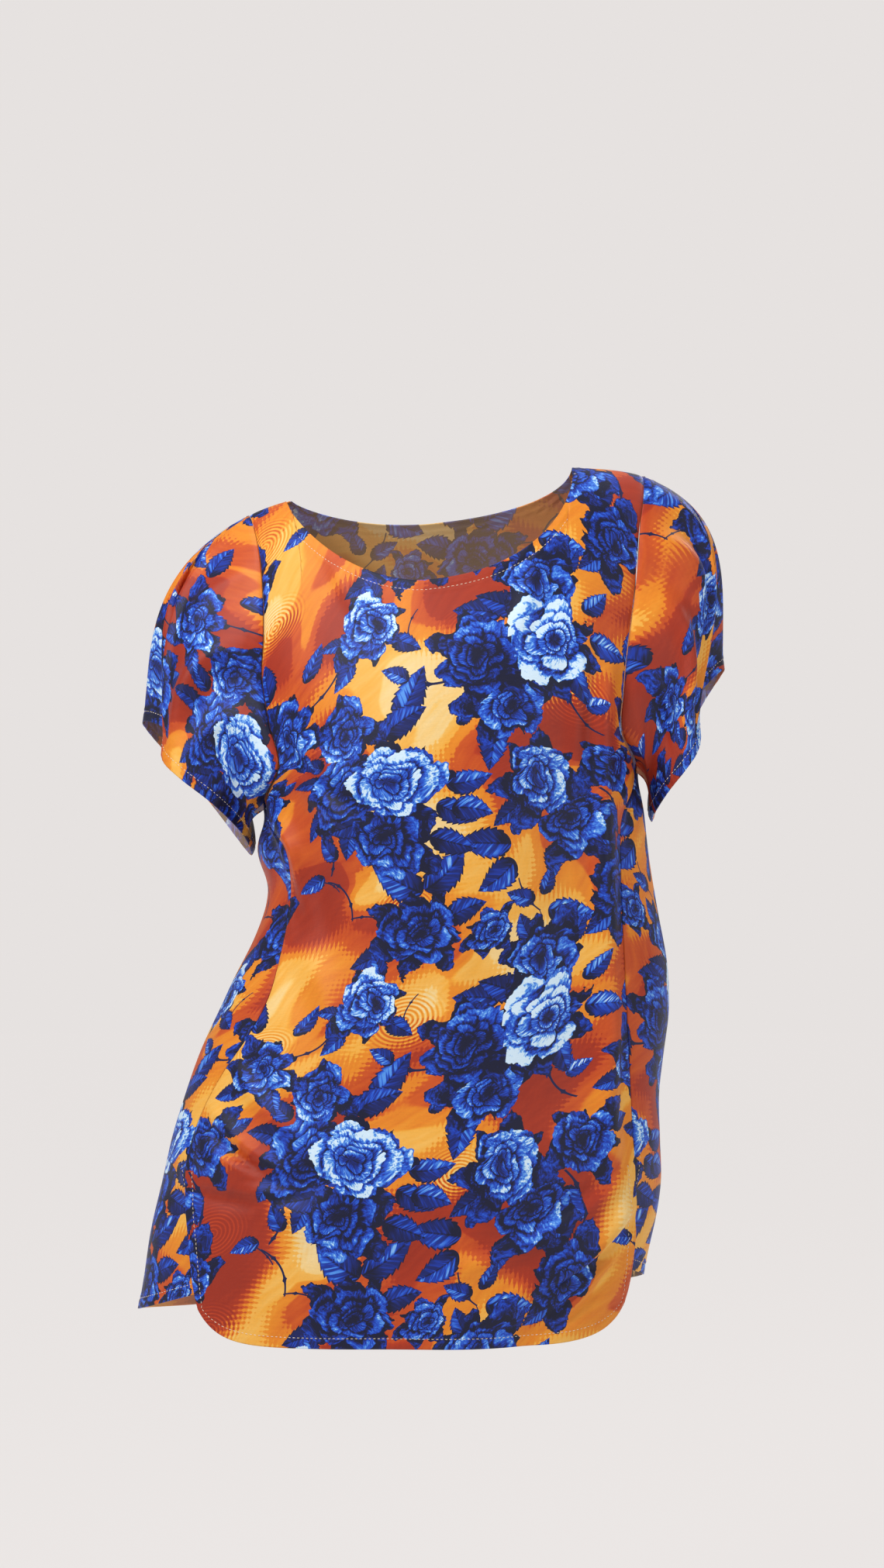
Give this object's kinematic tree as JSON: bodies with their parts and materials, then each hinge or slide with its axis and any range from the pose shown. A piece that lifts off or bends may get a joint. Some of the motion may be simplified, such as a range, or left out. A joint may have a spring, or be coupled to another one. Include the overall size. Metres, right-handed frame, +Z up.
{
  "type": "tunic top",
  "caption": "Hip-length tunic top in printed satin crepe with a wide scoop neck, short loose sleeves and open side slits, in its hollow worn form.",
  "frame": {"origin": "middle of the shoulder line, where the wearer's shoulders carry the top", "axes": "+Z up, the front of the top faces -Y, +X towards the sleeve that is on the viewer's right in the front view"},
  "size_m": [0.4993, 0.2462, 0.7219],
  "materials": {
    "printed_cloth": "soft satin crepe, orange marbled ground with blue roses",
    "thread": "pale sewing thread"
  },
  "bodies": {
    "root": {"front": "printed_cloth", "back": "printed_cloth", "sleeve_left": "printed_cloth", "sleeve_right": "printed_cloth"}
  },
  "joints": []
}
